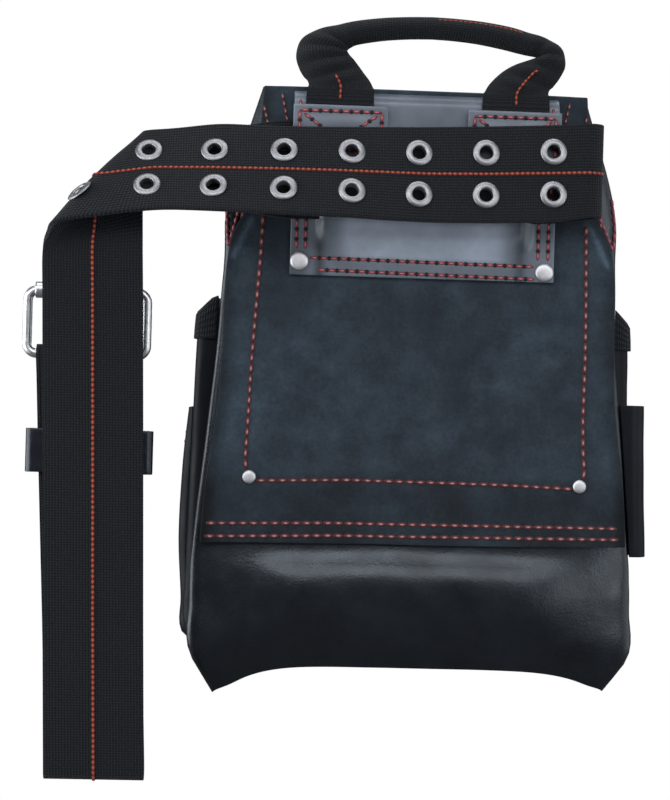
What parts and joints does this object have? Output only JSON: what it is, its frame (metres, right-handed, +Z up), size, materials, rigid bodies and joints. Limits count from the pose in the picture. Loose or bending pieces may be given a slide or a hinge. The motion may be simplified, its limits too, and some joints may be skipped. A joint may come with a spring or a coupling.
{
  "type": "nail bag",
  "caption": "Leather nail bag with open pouches, a suede back, a webbing carry handle and a folded webbing belt with eyelets and a roller buckle.",
  "frame": {"origin": "underside of the carry handle's crown, at its middle, where the bag hangs from a hook", "axes": "+Z up, +X to the right as seen from the wearer's side, +Y from the wearer's side to the front pocket"},
  "size_m": [0.325, 0.1414, 0.3923],
  "materials": {
    "gloss_leather": "smooth gloss",
    "cover_leather": "smooth satin",
    "suede": "matte nap",
    "webbing": "woven",
    "steel": "bright"
  },
  "bodies": {
    "bag": {"main_pouch": "gloss_leather", "middle_pocket": "gloss_leather", "front_pocket": "gloss_leather", "pocket_binding": "webbing", "back_panel": "suede", "tunnel_cover": "cover_leather", "carry_handle": "webbing", "handle_patch_left": "cover_leather", "handle_patch_right": "cover_leather", "tool_loop": "gloss_leather", "belt": "webbing", "belt_keeper": "webbing", "eyelet_upper_1": "steel", "eyelet_lower_1": "steel", "eyelet_upper_2": "steel", "eyelet_lower_2": "steel", "eyelet_upper_3": "steel", "eyelet_lower_3": "steel", "eyelet_upper_4": "steel", "eyelet_lower_4": "steel", "eyelet_upper_5": "steel", "eyelet_lower_5": "steel", "eyelet_upper_6": "steel", "eyelet_lower_6": "steel", "eyelet_upper_7": "steel", "eyelet_lower_7": "steel", "eyelet_crease": "steel", "buckle_frame": "steel", "rivet_cover_left": "steel", "rivet_cover_right": "steel", "rivet_panel_left": "steel", "rivet_panel_right": "steel"},
    "prongs": {"buckle_prong_left": "steel", "buckle_prong_right": "steel"},
    "roller": {"buckle_roller": "steel"}
  },
  "joints": [
    {"name": "prong_swing", "type": "hinge", "parent": "bag", "child": "prongs", "pos_m": [-0.1695, -0.0079, -0.1676], "axis": [-1, 0, 0], "range_deg": [0, 110]},
    {"name": "roller_spin", "type": "hinge", "parent": "bag", "child": "roller", "pos_m": [-0.1695, -0.0079, -0.1355], "axis": [1, 0, 0], "continuous": true}
  ]
}
